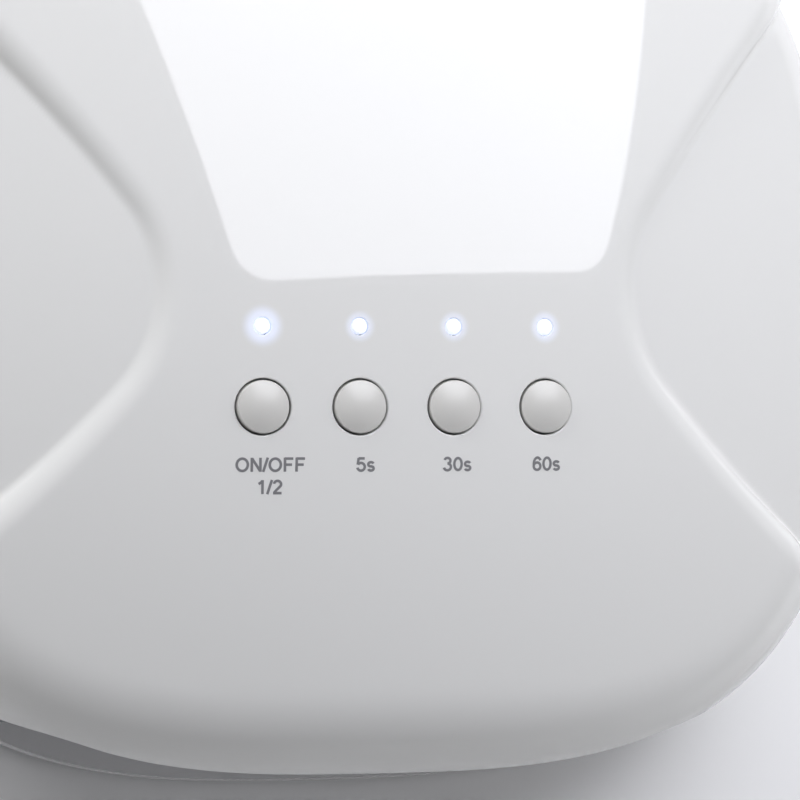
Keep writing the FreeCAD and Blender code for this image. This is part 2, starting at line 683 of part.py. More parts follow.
plug_x = f"({side_out} + board_thick + 2.25)"
led_sockets = [block(20, 28, f"{ceiling_face} + board_thick", 8, 6, 5)]
for side in SIDES.values():
    led_sockets.append(block(f"{side} * {plug_x}", 14, "side_z - 3", 4.5, 6, 6))
subpart("led_sockets", fuse(*led_sockets))

# ---------------------------------------------------------------- inlet
flat = (1, 0, 0, 90)
housing = fuse(
    block(0, "(inlet_shoulder + inlet_back) / 2", "inlet_z - inlet_side / 2", "inlet_side",
          "inlet_shoulder - inlet_back", "inlet_side"),
    rod(0, "inlet_face", "inlet_z", "inlet_collar", "inlet_face - inlet_shoulder + 1", flat),
)
housing = cut(
    housing,
    rod(0, "inlet_face + 1", "inlet_z", "inlet_bore", "inlet_face + 1 - pin_root", flat),
    rod(0, "pin_root + 1", "inlet_z", 0.8, 20, flat),
    block(0, "(pin_root + inlet_face - 2) / 2", "inlet_z - inlet_bore - 0.4", 2.4,
          "inlet_face - 2 - pin_root", 1.4),
)
subpart("inlet_housing", housing)
inlet_pin = turned([
    ("0", "pin_root + pin_free + 0.6 - inlet_back"),
    ("inlet_pin - 0.5", "pin_root + pin_free + 0.6 - inlet_back"),
    ("inlet_pin", "pin_root + pin_free - inlet_back"),
    ("inlet_pin", "pin_root - inlet_back"),
    ("0.8", "pin_root - inlet_back"),
    ("0.8", "-1.5"),
    ("0", "-1.5"),
])
subpart("inlet_pin", inlet_pin,
        Placement(V(0, size("inlet_back"), size("inlet_z")), Rotation(V(1, 0, 0), -90)))
spring = block(0, "(pin_root + inlet_face - 2) / 2", "inlet_z - inlet_bore - 0.4", 2.2,
               "inlet_face - 2.4 - pin_root", 0.4)
subpart("inlet_contact", spring)


# ---------------------------------------------------------------- wiring
def wire_pair(route, offset):
    """Two wires side by side: straight runs joined by tangent arcs."""
    wires = []
    for side in (-1, 1):
        points = [V(*point) + V(*offset) * side for point in route]
        runs = [after - point for point, after in zip(points, points[1:])]
        edges, start = [], points[0]
        for number in range(1, len(points) - 1):
            back, ahead = runs[number - 1], runs[number]
            half = back.getAngle(ahead) / 2
            reach = 0.45 * min(back.Length, ahead.Length)
            radius = reach / math.tan(half)
            enter = points[number] - V(back).normalize() * reach
            leave = points[number] + V(ahead).normalize() * reach
            inward = (V(ahead).normalize() - V(back).normalize()).normalize()
            middle = points[number] + inward * (radius / math.cos(half) - radius)
            edges.append(Part.makeLine(start, enter))
            edges.append(Part.Arc(enter, middle, leave).toShape())
            start = leave
        edges.append(Part.makeLine(start, points[-1]))
        path = Part.Wire(edges)
        circle = Part.Circle(points[0], runs[0], size("wire_radius")).toShape()
        tube = path.makePipeShell([Part.Wire([circle])], True, True)
        expected = math.pi * size("wire_radius") ** 2 * path.Length
        print("wire", round(tube.Volume / expected, 4), tube.isValid())
        wires.append(tube)
    return wires


def panel_point(x, y, z):
    """A place in the panel's frame, in the whole lamp's frame."""
    return tuple(PANEL.multVec(V(x, y, z)))


SOCKET_Y, SOCKET_Z = 18, size("board_top") - size("board_thick") - 2.5
start_of = {name: panel_point(x, SOCKET_Y, SOCKET_Z) for name, x in SOCKETS.items()}
side_x = amount(plug_x)
routes = {
    "wires_power": ("power", (1.0, 0, 0), [
        (-10, 18, 64), (-9, 44, 63), (-6, 65, 50), (-4, 68, 32), (-3, 70, 22), (-3, 74, 20),
    ]),
    "wires_ceiling": ("ceiling", (1.0, 0, 0), [
        (11, 14, 63.5), (16, 34, 63), (20, 45, 56), (20, 42, 51.4), (20, 31, 51.4),
    ]),
    "wires_left": ("left", (0.8, 0.8, 0), [
        (-29, 10, 63.5), (-46, 20, 61), (-66, 19, 56), (-side_x, 16, 44), (-side_x, 14, 32),
        (-side_x, 14, 19.5),
    ]),
    "wires_right": ("right", (-0.8, 0.8, 0), [
        (29, 10, 63.5), (46, 20, 61), (66, 19, 56), (side_x, 16, 44), (side_x, 14, 32),
        (side_x, 14, 19.5),
    ]),
}
for name, (socket, offset, rest) in routes.items():
    pair = wire_pair([start_of[socket]] + rest, offset)
    subpart(name, formed(Part.makeCompound(pair)))

# ---------------------------------------------------------------- tray
def tray_slab(inset, bottom, top):
    """A flat slab with the cover's plan."""
    outline = plan_ring(size("foot_half_width") - inset, size("foot_half_depth") - inset, bottom)
    return Part.Face(outline).extrude(V(0, 0, top - bottom))


slab = tray_slab(size("tray_inset"), size("tray_bottom"), size("tray_top"))
slab = formed(slab.makeFillet(size("tray_edge"), [
    edge for edge in slab.Edges if edge.BoundBox.ZMax < size("tray_bottom") + 0.5
]))
under_hollow = formed(tray_slab(3, size("tray_bottom") - 1,
                                size("tray_bottom") + size("tray_hollow")))
FEET = [(f"{i} * foot_x", f"{j} * foot_y") for i in (-1, 1) for j in (-1, 1)]
pads = [rod(x, y, "tray_bottom", "foot_radius + 1.5", "tray_hollow + 0.5") for x, y in FEET]
sheet_depth = "sheet_back - sheet_front"
sheet_y = "(sheet_back + sheet_front) / 2"


def sheet_block(lift):
    """The mirror sheet's outline, or the shallow recess that takes it."""
    body = block(0, sheet_y, "tray_top - sheet_thick", "sheet_width", sheet_depth,
                 f"sheet_thick + {lift}")
    return round_off(body, size("sheet_corner"), lambda edge: edge.BoundBox.ZLength > 0.1)


disc_wells = [rod(x, y, "tray_top - disc_thick", "magnet_radius", "disc_thick + 1")
              for x, y in MAGNETS]
tray = cut(fuse(cut(slab, under_hollow), *pads), sheet_block(1), *disc_wells)
subpart("base_plate", tray)
subpart("mirror_sheet", sheet_block(0))
discs = [rod(x, y, "tray_top - disc_thick", "magnet_radius", "disc_thick") for x, y in MAGNETS]
subpart("keeper_discs", fuse(*discs))
feet = [
    primitive("Cone", (x, y, 0), Radius1="foot_radius - 0.6", Radius2="foot_radius",
              Height="tray_bottom")
    for x, y in FEET
]
subpart("tray_feet", fuse(*feet))

# ---------------------------------------------------------------- check and write
doc.recompute()
for thing in doc.Objects:
    if "Invalid" in thing.State or "Error" in thing.State:
        raise RuntimeError(f"{thing.Name} ({thing.Label}) failed: {thing.State}")
for piece in SUBPARTS:
    if piece.Shape.isNull() or not piece.Shape.isValid():
        raise RuntimeError(f"{piece.Label} has no valid shape")
for piece in SUBPARTS:
    piece.Shape.exportStep(f"parts/{piece.Label}.step")
    print(piece.Label, len(piece.Shape.Solids), round(piece.Shape.Volume, 1))
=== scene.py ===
import math
import bpy
import numpy as np
from mathutils import Matrix, Vector


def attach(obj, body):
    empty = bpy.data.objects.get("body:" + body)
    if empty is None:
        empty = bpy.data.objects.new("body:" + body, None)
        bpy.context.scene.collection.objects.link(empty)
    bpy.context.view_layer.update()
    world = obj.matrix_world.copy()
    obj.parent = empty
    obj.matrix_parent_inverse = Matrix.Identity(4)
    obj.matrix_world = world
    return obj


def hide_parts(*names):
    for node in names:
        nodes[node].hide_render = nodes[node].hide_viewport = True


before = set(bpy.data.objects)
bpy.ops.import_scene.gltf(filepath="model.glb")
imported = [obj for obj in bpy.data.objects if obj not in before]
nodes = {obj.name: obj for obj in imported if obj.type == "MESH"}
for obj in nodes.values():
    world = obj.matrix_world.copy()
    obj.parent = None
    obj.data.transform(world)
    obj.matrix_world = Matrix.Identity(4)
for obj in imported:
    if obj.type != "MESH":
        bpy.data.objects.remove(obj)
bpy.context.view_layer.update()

MM = 0.001

# ---------------------------------------------------------------- tray
# A flat white ABS tray that the lamp stands on and lifts off. Moulded against a polished
# tool like the cover, so it takes the same gloss; its underside is never touched up.


def linear(colour):
    """An sRGB hex colour as the linear numbers a shader socket takes."""
    parts = [int(colour[i : i + 2], 16) / 255 for i in (0, 2, 4)]
    return [c / 12.92 if c <= 0.04045 else ((c + 0.055) / 1.055) ** 2.4 for c in parts] + [1.0]


def add(material, kind, settings=None, **links):
    """One node: settings are its own properties and socket values, links its inputs."""
    tree = material.node_tree
    node = tree.nodes.new("ShaderNode" + kind)
    for name, value in (settings or {}).items():
        if isinstance(name, str) and hasattr(node, name):
            setattr(node, name, value)
        else:
            node.inputs[name].default_value = value
    for name, source in links.items():
        socket = int(name[1:]) if name[1:].isdigit() else name.replace("_", " ")
        tree.links.new(source, node.inputs[socket])
    return node


def finish_of(name, colour, roughness, **sockets):
    """A new material: its Principled shader, with the constants set on its own sockets."""
    material = bpy.data.materials.new(name)
    material.use_nodes = True
    shader = material.node_tree.nodes["Principled BSDF"]
    shader.inputs["Base Color"].default_value = linear(colour)
    shader.inputs["Roughness"].default_value = roughness
    for socket, value in sockets.items():
        shader.inputs[socket.replace("_", " ")].default_value = value
    return material, shader


def grain(material, shader, size_mm, depth_mm, mottle, detail=3):
    """Moulding texture: a bump of that grain size and depth, and a slight mottle 40 grains wide."""
    place = add(material, "TexCoord")
    noise = add(material, "TexNoise", {"Scale": 1 / (size_mm * MM), "Detail": detail},
                Vector=place.outputs["Object"])
    bump = add(material, "Bump", {"Strength": 1.0, "Distance": depth_mm * MM},
               Height=noise.outputs["Fac"])
    material.node_tree.links.new(bump.outputs["Normal"], shader.inputs["Normal"])
    broad = add(material, "TexNoise", {"Scale": 1 / (size_mm * 40 * MM), "Detail": 2},
                Vector=place.outputs["Object"])
    base = list(shader.inputs["Base Color"].default_value)
    light = [min(1, c * (1 + mottle)) for c in base[:3]] + [1]
    dark = [c * (1 - mottle) for c in base[:3]] + [1]
    mix = add(material, "Mix", {"data_type": "RGBA"}, _0=broad.outputs["Fac"])
    mix.inputs[6].default_value = dark
    mix.inputs[7].default_value = light
    material.node_tree.links.new(mix.outputs[2], shader.inputs["Base Color"])


def dress(material, *names):
    """Gives CAD nodes a material in every slot."""
    for name in names:
        data = nodes[name].data
        data.materials.clear()
        data.materials.append(material)


white_abs, shader = finish_of("polished white ABS", "E3E3E5", 0.09, IOR=1.53)
grain(white_abs, shader, 1.1, 0.0008, 0.006)
dress(white_abs, "base_plate")

# ---------------------------------------------------------------- mirror sheet
# A card faced with metallised film, laid in a shallow recess of the tray to throw the
# light back up. Rolled film, so it mirrors with faint ripples and fine scuffs.
scuff_gap = 3.85
film, shader = finish_of("metallised mirror film", "D9DBDE", 0.07, Metallic=1.0)
grain(film, shader, 9.0, 0.02, 0.01)
scuffs = add(film, "TexNoise", {"Scale": 1 / (scuff_gap * MM), "Detail": 6.0},
             Vector=add(film, "TexCoord").outputs["Object"])
rough = add(film, "MapRange", {"From Min": 0.45, "From Max": 0.75, "To Min": 0.05, "To Max": 0.16},
            Value=scuffs.outputs["Fac"])
film.node_tree.links.new(rough.outputs["Result"], shader.inputs["Roughness"])
dress(film, "mirror_sheet")

# ---------------------------------------------------------------- discs, feet and screws
# Zinc plated steel discs under the tray's face meet the magnets in the lamp, which are
# nickel plated and so brighter and warmer. The screws are zinc plated too, a duller grey.
# The feet are soft black rubber pads glued underneath, with no shine.
zinc, shader = finish_of("zinc plated steel", "B4B7B8", 0.32, Metallic=1.0)
grain(zinc, shader, 0.6, 0.004, 0.05)
dress(zinc, "keeper_discs", "frame_screws", "board_screws", "led_board_screws")
nickel, shader = finish_of("bright nickel plate", "CFCCC4", 0.14, Metallic=1.0)
grain(nickel, shader, 1.5, 0.002, 0.02)
dress(nickel, "magnets", "inlet_pin", "inlet_contact")
rubber, shader = finish_of("black rubber", "232323", 0.82)
grain(rubber, shader, 0.35, 0.03, 0.12)
dress(rubber, "tray_feet")

# ---------------------------------------------------------------- reflector tunnel
# The arched liner round the hand, moulded in smooth white plastic that throws the light
# back. It also carries the frame that the cover is screwed to.
liner, shader = finish_of("smooth white reflector plastic", "DDDDDE", 0.2, IOR=1.5)
grain(liner, shader, 0.9, 0.004, 0.01)
dress(liner, "reflector_tunnel")

# ---------------------------------------------------------------- curing lamps
# White lacquered aluminium boards carry ceramic emitters, each under a clear silicone
# dome that reaches through its hole in the liner.
lacquer, shader = finish_of("white solder mask", "E0E0DC", 0.3)
grain(lacquer, shader, 0.5, 0.004, 0.02)
dress(lacquer, "led_board_ceiling", "led_board_left", "led_board_right")
ceramic, shader = finish_of("emitter ceramic with phosphor", "D8CF9A", 0.45)
grain(ceramic, shader, 0.3, 0.01, 0.06)
dress(ceramic, "emitters_ceiling", "emitters_left", "emitters_right")
silicone, shader = finish_of("clear silicone lens", "F4F6FA", 0.05, IOR=1.43,
                             Transmission_Weight=0.9)
grain(silicone, shader, 2.0, 0.002, 0.01)
dress(silicone, "lenses_ceiling", "lenses_left", "lenses_right")

# ---------------------------------------------------------------- control board
# Glass epoxy under a green mask, screwed to posts under the key panel, with its switches,
# driver parts, sockets and leads soldered on. Each keeps the finish it is bought with.
mask_green, shader = finish_of("green solder mask", "1F5B33", 0.28)
grain(mask_green, shader, 0.4, 0.01, 0.12)
dress(mask_green, "control_board")
black_nylon, shader = finish_of("matt black nylon", "1A1A1B", 0.5)
grain(black_nylon, shader, 0.25, 0.012, 0.1)
dress(black_nylon, "switch_housings", "controller_chip", "driver_transistors",
      "indicator_spacers", "inlet_housing",
      *[f"plunger_{key}" for key in ("on_off", "short", "medium", "long")])
cans, shader = finish_of("sleeved aluminium can", "8F949C", 0.35, Metallic=0.8)
grain(cans, shader, 0.8, 0.004, 0.04)
dress(cans, "capacitors")
ferrite, shader = finish_of("sintered ferrite", "2E2D30", 0.6)
grain(ferrite, shader, 0.2, 0.02, 0.15)
dress(ferrite, "inductors")
cream_nylon, shader = finish_of("natural nylon", "DAD3BE", 0.42)
grain(cream_nylon, shader, 0.3, 0.01, 0.04)
dress(cream_nylon, "board_sockets", "led_sockets")
tin, shader = finish_of("tinned wire", "C2C4C6", 0.25, Metallic=1.0)
grain(tin, shader, 0.4, 0.004, 0.05)
dress(tin, "indicator_leads")

# ---------------------------------------------------------------- wiring
# Paired hook-up wires run from the board to the inlet and to each lamp board. Their red
# PVC sleeve is extruded, so it has a soft gloss.
pvc, shader = finish_of("red PVC sleeve", "A8231F", 0.35)
grain(pvc, shader, 0.5, 0.01, 0.08)
dress(pvc, "wires_power", "wires_ceiling", "wires_left", "wires_right")

# ---------------------------------------------------------------- cover
# One injection moulding in white ABS against a mirror-polished tool: a raised hourglass
# spine with a rounded brow between two lower wings. Six screws from below hold it.
plan_heights = np.array([6.0, 30.0, 60.0, 90.0])
width_curve = np.polyfit(plan_heights, [93.0, 96.0, 92.5, 85.0], 3)
depth_curve = np.polyfit(plan_heights, [86.0, 89.0, 86.0, 79.0], 3)
crown_along, crown_y = 300.0, 20.0
spine_top, spine_cross = 77.0, 280.0
wing_top, wing_cross, wing_inset = 76.6, 212.0, 1.5
shoulder_round, brow_round, crease_round = 20.0, 6.0, 0.8
waist_half, waist_y, waist_round = 45.3, -4.0, 24.0
flares = {-1: (41.0, 185.0, 16.0), 1: (34.0, 400.0, 9.0)}  # bend, slow radius, sweep


def unit(rows):
    """Rows as unit vectors."""
    return rows / np.maximum(np.linalg.norm(rows, axis=1, keepdims=True), 1e-12)


# Each skin below takes points in millimetres and gives how far they lie outside it, with
# the direction that distance grows in, which on the skin itself is its normal.
def wall_skin(p, inset):
    """The side wall, a superellipse in plan."""
    x, y, z = p.T
    half_width = np.polyval(width_curve, z) - inset
    half_depth = np.polyval(depth_curve, z) - inset
    across, along = np.abs(x) / half_width, np.abs(y) / half_depth
    level = np.maximum((across**3 + along**3) ** (1 / 3), 1e-6)
    slope_x = np.sign(x) * across**2 / half_width / level**2
    slope_y = np.sign(y) * along**2 / half_depth / level**2
    widening = np.polyval(np.polyder(width_curve), z) / half_width
    deepening = np.polyval(np.polyder(depth_curve), z) / half_depth
    slope_z = -(across**3 * widening + along**3 * deepening) / level**2
    slopes = np.stack([slope_x, slope_y, slope_z], 1)
    return (level - 1) / np.maximum(np.linalg.norm(slopes, axis=1), 1e-9), unit(slopes)


def dome_skin(p, top, cross):
    """A dome: one arc across, swept along a slower one."""
    lean = np.clip(p[:, 0] / cross, -0.9, 0.9)
    upright = np.sqrt(1 - lean**2)
    along, up = p[:, 1] - crown_y, p[:, 2] - top + crown_along
    reach = np.hypot(along, up)
    away = (reach - crown_along + cross * (1 - upright)) * upright
    return away, np.stack([lean, along / reach * upright, up / reach * upright], 1)


def waist_skin(p):
    """The hourglass plan of the spine."""
    x, y = np.abs(p[:, 0]), p[:, 1] - waist_y
    away = np.abs(y)
    distance, way = np.zeros(len(p)), np.zeros((len(p), 3))
    for side, (bend, slow, sweep) in flares.items():
        turn, end = math.radians(bend), math.radians(bend + sweep)
        tight_x = waist_half + waist_round
        slow_x = tight_x + (slow - waist_round) * math.cos(turn)
        slow_y = (waist_round - slow) * math.sin(turn)
        end_x, end_y = slow_x - slow * math.cos(end), slow_y + slow * math.sin(end)
        tight = np.stack([tight_x - x, -away, 0 * x], 1)
        gentle = np.stack([slow_x - x, slow_y - away, 0 * x], 1)
        straight = np.tile([math.cos(end), -math.sin(end), 0], (len(p), 1))
        in_tight = (np.arctan2(away, tight_x - x) < turn) & (x < tight_x)
        in_gentle = np.arctan2(away - slow_y, slow_x - x) < end
        along = (x - end_x) * math.cos(end) - (away - end_y) * math.sin(end)
        here = np.where(in_gentle, slow - np.linalg.norm(gentle, axis=1), along)
        here = np.where(in_tight, waist_round - np.linalg.norm(tight, axis=1), here)
        lean = np.where(in_gentle[:, None], unit(gentle), straight)
        lean = np.where(in_tight[:, None], unit(tight), lean)
        lean *= np.stack([np.sign(p[:, 0]), np.full(len(p), side), np.ones(len(p))], 1)
        mine = np.where(y >= 0, 1, -1) == side
        distance = np.where(mine, here, distance)
        way = np.where(mine[:, None], lean, way)
    return distance, way


def rolled(first, second, radius):
    """Two skins joined by a rounded edge, as a ball rolled along inside it leaves."""
    (a, way_a), (b, way_b) = first, second
    cosine = np.clip((way_a * way_b).sum(1), -0.95, 0.95)
    more_a, more_b = a + radius, b + radius
    push_a, push_b = more_a - cosine * more_b, more_b - cosine * more_a
    room = 1 - cosine**2
    ball = np.sqrt(np.maximum(more_a * push_a + more_b * push_b, 1e-9) / room)
    way = unit(push_a[:, None] * way_a + push_b[:, None] * way_b)
    flat = np.where((a > b)[:, None], way_a, way_b)
    round_here = (push_a > 0) & (push_b > 0)
    distance = np.where(round_here, ball - radius, np.maximum(a, b))
    return distance, np.where(round_here[:, None], way, flat)


def cover_skin(p):
    """The whole cover: the spine's column and the wings, with a small root in the crease."""
    spine = rolled(dome_skin(p, spine_top, spine_cross), wall_skin(p, 0), shoulder_round)
    column, way_column = rolled(spine, waist_skin(p), brow_round)
    wings, way_wings = rolled(
        dome_skin(p, wing_top, wing_cross), wall_skin(p, wing_inset), shoulder_round
    )
    # under the spine the wings drop away, so the root stays in the crease
    wings = wings + np.maximum(0, -brow_round - waist_skin(p)[0]) / 2
    share = np.clip(0.5 + 0.5 * (wings - column) / crease_round, 0, 1)
    distance = wings + (column - wings) * share - crease_round * share * (1 - share)
    share = share[:, None]
    return distance, unit(way_wings + (way_column - way_wings) * share)


def settle(p, rim):
    """Moves points onto the cover's skin; those on the bottom rim stay at their height."""
    rounds, longest_step = 10, 4
    for _ in range(rounds):
        distance, way = cover_skin(p)
        way[rim, 2] = 0
        p = p - np.clip(distance, -longest_step, longest_step)[:, None] * unit(way)
    return p


def listed(items, field, width=1, kind=float):
    """One field of all of a mesh's vertices, edges, faces or corners."""
    rows = np.empty(len(items) * width, kind)
    items.foreach_get(field, rows)
    return rows.reshape(-1, width) if width > 1 else rows


def points_of(piece):
    """A piece's vertices in millimetres."""
    bpy.ops.object.mode_set(mode="OBJECT")
    return listed(piece.data.vertices, "co", 3) / MM


def place_points(piece, p):
    """Puts a piece's vertices at points in millimetres."""
    piece.data.vertices.foreach_set("co", (p * MM).ravel())
    piece.data.update()


def face_centres(piece):
    """The middle of every face, in millimetres."""
    bpy.ops.object.mode_set(mode="OBJECT")
    return listed(piece.data.polygons, "center", 3) / MM


def edge_uses(piece):
    """How many faces use each edge."""
    around = listed(piece.data.loops, "edge_index", kind=int)
    return np.bincount(around, minlength=len(piece.data.edges))


def edge_ends(piece):
    """The two vertices of every edge."""
    return listed(piece.data.edges, "vertices", 2, int)


def pick(piece, kind, chosen):
    """Edit mode with only the chosen faces, edges or vertices selected."""
    bpy.ops.object.mode_set(mode="OBJECT")
    groups = {"VERT": piece.data.vertices, "EDGE": piece.data.edges, "FACE": piece.data.polygons}
    for group in groups.values():
        group.foreach_set("select", np.zeros(len(group), bool))
    groups[kind].foreach_set("select", chosen)
    bpy.ops.object.mode_set(mode="EDIT")
    bpy.ops.mesh.select_mode(type=kind)


# the key panel's own frame: across, up the panel, and out of the cover
panel_y = -26.0
panel_tilt = math.asin((crown_y - panel_y) / crown_along)
panel_z = spine_top - crown_along * (1 - math.cos(panel_tilt))
panel_axes = np.array([
    [1, 0, 0],
    [0, math.cos(panel_tilt), math.sin(panel_tilt)],
    [0, -math.sin(panel_tilt), math.cos(panel_tilt)],
])
panel_at = np.array([0, panel_y, panel_z])
key_pitch, key_hole, lamp_up, lamp_hole = 17.4, 5.0, 14.1, 1.6
above_walls = -12.0  # the skin round the panel lies over this height, the side walls under it
keys = {"on_off": -1.5 * key_pitch, "short": -0.5 * key_pitch,
        "medium": 0.5 * key_pitch, "long": 1.5 * key_pitch}


def on_panel(p):
    """Points given in the lamp's frame, in the panel's frame."""
    return (p - panel_at) @ panel_axes.T


def off_panel(q):
    """Points given in the panel's frame, in the lamp's frame."""
    return q @ panel_axes + panel_at


def crown(across, up):
    """How high the cover's skin stands over the panel's plane."""
    drop = spine_cross - np.sqrt(spine_cross**2 - across**2)
    return np.sqrt((crown_along - drop) ** 2 - up**2) - crown_along


# a square sheet laid over the lamp, its rim drawn down ring by ring into the side wall
wall_rings, sheet_share, lip_share = 30, 0.88, 0.95
half_width, half_depth = 94.5, 89.0
sheet_z, lip_z, rim_z = 72.0, 64.0, 6.0
even_rounds = 6
bpy.ops.object.select_all(action="DESELECT")
bpy.ops.mesh.primitive_grid_add(x_subdivisions=72, y_subdivisions=68, size=2)
cover = bpy.context.object
cover.name = "cover_moulding"
pick(cover, "EDGE", edge_uses(cover) == 1)
for _ in range(wall_rings):
    bpy.ops.mesh.extrude_region_move(TRANSFORM_OT_translate={"value": (0, 0, -1)})
bpy.ops.object.mode_set(mode="OBJECT")
across, along, level = (points_of(cover) * MM).T
level = -level
share = np.select([level < 0.5, level < 1.5], [sheet_share, lip_share], 1.0)
fall = (lip_z - rim_z) * (level - 1) / (wall_rings - 1)
p = np.stack([
    across * (1 - np.abs(along) ** 3 / 2) ** (1 / 3) * half_width * share,
    along * (1 - np.abs(across) ** 3 / 2) ** (1 / 3) * half_depth * share,
    np.where(level < 0.5, sheet_z, lip_z - fall),
], 1)
rim = level > wall_rings - 0.5
p[rim, 2] = rim_z
place_points(cover, settle(p, rim))
for _ in range(even_rounds):
    pick(cover, "VERT", ~rim)
    bpy.ops.mesh.vertices_smooth(factor=0.5, repeat=4)
    bpy.ops.object.mode_set(mode="OBJECT")
    place_points(cover, settle(points_of(cover), rim))


def refine(chosen):
    """Quarters the chosen faces and lays the new corners on the skin."""
    pick(cover, "FACE", chosen)
    bpy.ops.mesh.subdivide(number_cuts=1, ngon=True)
    bpy.ops.object.mode_set(mode="OBJECT")
    p = points_of(cover)
    place_points(cover, settle(p, p[:, 2] < rim_z + 0.01))


# finer cells round the keys and along the brow, and finer again on the brow and its crease
panel_half, panel_middle, panel_reach = 38.0, 5.0, 16.0
broad_strip, narrow_strip = (-12.0, 6.0), (-8.5, 3.0)  # how far outside the spine's plan
q = on_panel(face_centres(cover))
round_keys = (np.abs(q[:, 0]) < panel_half) & (np.abs(q[:, 1] - panel_middle) < panel_reach)
round_keys &= q[:, 2] > above_walls
outside = waist_skin(face_centres(cover))[0]
refine(round_keys | ((outside > broad_strip[0]) & (outside < broad_strip[1])))
outside = waist_skin(face_centres(cover))[0]
refine((outside > narrow_strip[0]) & (outside < narrow_strip[1]))

# holes for the keys and the lamps: clear the cells, then bridge to two true circles
cell, bridge_reach = 0.9, 3.2
holes = [(x, 0.0, key_hole, 1.0) for x in keys.values()]
holes += [(x, lamp_up, lamp_hole, 0.5) for x in keys.values()]
for x, y, radius, margin in holes:
    q = on_panel(face_centres(cover))
    inside = np.hypot(q[:, 0] - x, q[:, 1] - y) < radius + margin + cell
    pick(cover, "FACE", inside & (q[:, 2] > above_walls))
    bpy.ops.mesh.delete(type="FACE")
    centre = Vector(off_panel(np.array([x, y, crown(x, y)])) * MM)
    for ring in (radius + margin, radius):
        bpy.ops.mesh.select_all(action="DESELECT")
        bpy.ops.mesh.primitive_circle_add(
            vertices=96 if radius > 3 else 48, radius=ring * MM, location=centre,
            rotation=(panel_tilt, 0, 0),
        )
        bpy.ops.object.mode_set(mode="OBJECT")
        p = points_of(cover)
        q = on_panel(p)
        fresh = listed(cover.data.vertices, "select", kind=bool)
        q[fresh, 2] = crown(q[fresh, 0], q[fresh, 1])
        p[fresh] = off_panel(q[fresh])
        place_points(cover, p)
        near = np.hypot(q[:, 0] - x, q[:, 1] - y) < radius + margin + bridge_reach
        near &= q[:, 2] > above_walls
        pick(cover, "EDGE", (edge_uses(cover) < 2) & near[edge_ends(cover)].all(1))
        bpy.ops.mesh.bridge_edge_loops()
bpy.ops.object.mode_set(mode="OBJECT")

# the wall's thickness, then a small round on the edge of every hole
cover_wall, hole_rounds, on_skin = 2.4, {key_hole: 0.3, lamp_hole: 0.18}, 0.02
bpy.ops.object.mode_set(mode="EDIT")
bpy.ops.mesh.select_all(action="SELECT")
bpy.ops.mesh.normals_make_consistent(inside=False)
bpy.ops.object.mode_set(mode="OBJECT")
solid = cover.modifiers.new("wall", "SOLIDIFY")
solid.thickness, solid.offset, solid.use_rim = cover_wall * MM, -1, True
bpy.ops.object.modifier_apply(modifier=solid.name)
for radius, round_mm in hole_rounds.items():
    p = points_of(cover)
    q = on_panel(p)
    ring = np.zeros(len(q), bool)
    for x, y, hole, _ in holes:
        if hole == radius:
            ring |= np.abs(np.hypot(q[:, 0] - x, q[:, 1] - y) - radius) < on_skin
    ring &= (np.abs(cover_skin(p)[0]) < on_skin) & (q[:, 2] > above_walls)
    pick(cover, "EDGE", ring[edge_ends(cover)].all(1))
    bpy.ops.mesh.bevel(offset=round_mm * MM, segments=4, affect="EDGES")
bpy.ops.object.mode_set(mode="OBJECT")


def alone(piece):
    """Selects one piece only and makes it the active one."""
    bpy.ops.object.select_all(action="DESELECT")
    piece.select_set(True)
    bpy.context.view_layer.objects.active = piece


def core(kind, name, **where):
    """A cutter or a boss: one primitive at its place, named, and left selected."""
    bpy.ops.object.select_all(action="DESELECT")
    getattr(bpy.ops.mesh, f"primitive_{kind}_add")(**where)
    tool = bpy.context.object
    tool.name = name
    bpy.ops.object.transform_apply(location=True, rotation=True, scale=True)
    return tool


def combine(piece, tool, operation):
    """Adds or cores one tool, then throws the tool away."""
    bpy.ops.object.select_all(action="DESELECT")
    bpy.context.view_layer.objects.active = piece
    step = piece.modifiers.new(operation.lower(), "BOOLEAN")
    step.object, step.operation, step.solver = tool, operation, "EXACT"
    bpy.ops.object.modifier_apply(modifier=step.name)
    bpy.data.objects.remove(tool)


def joined(tools):
    """Several tools made one object."""
    bpy.ops.object.select_all(action="DESELECT")
    for tool in tools:
        tool.select_set(True)
    bpy.context.view_layer.objects.active = tools[0]
    bpy.ops.object.join()
    return tools[0]


# the mouth: an arch with round upper corners, cored through the front wall
mouth_half, mouth_top, mouth_round = 74.0, 46.0, 20.25
front_y, front_cut, below_rim = -90.0, 60.0, -10.0
mouth = core("cube", "mouth_core", size=1,
             location=(0, front_y * MM, (mouth_top + below_rim) / 2 * MM),
             scale=(2 * mouth_half * MM, front_cut * MM, (mouth_top - below_rim) * MM))
ends = edge_ends(mouth)
p = points_of(mouth)
top_sides = (p[ends][:, :, 2] > mouth_top - 1).all(1) & (np.ptp(p[ends][:, :, 1], axis=1) > 1)
pick(mouth, "EDGE", top_sides)
bpy.ops.mesh.bevel(offset=mouth_round * MM, segments=24, affect="EDGES")
bpy.ops.object.mode_set(mode="OBJECT")

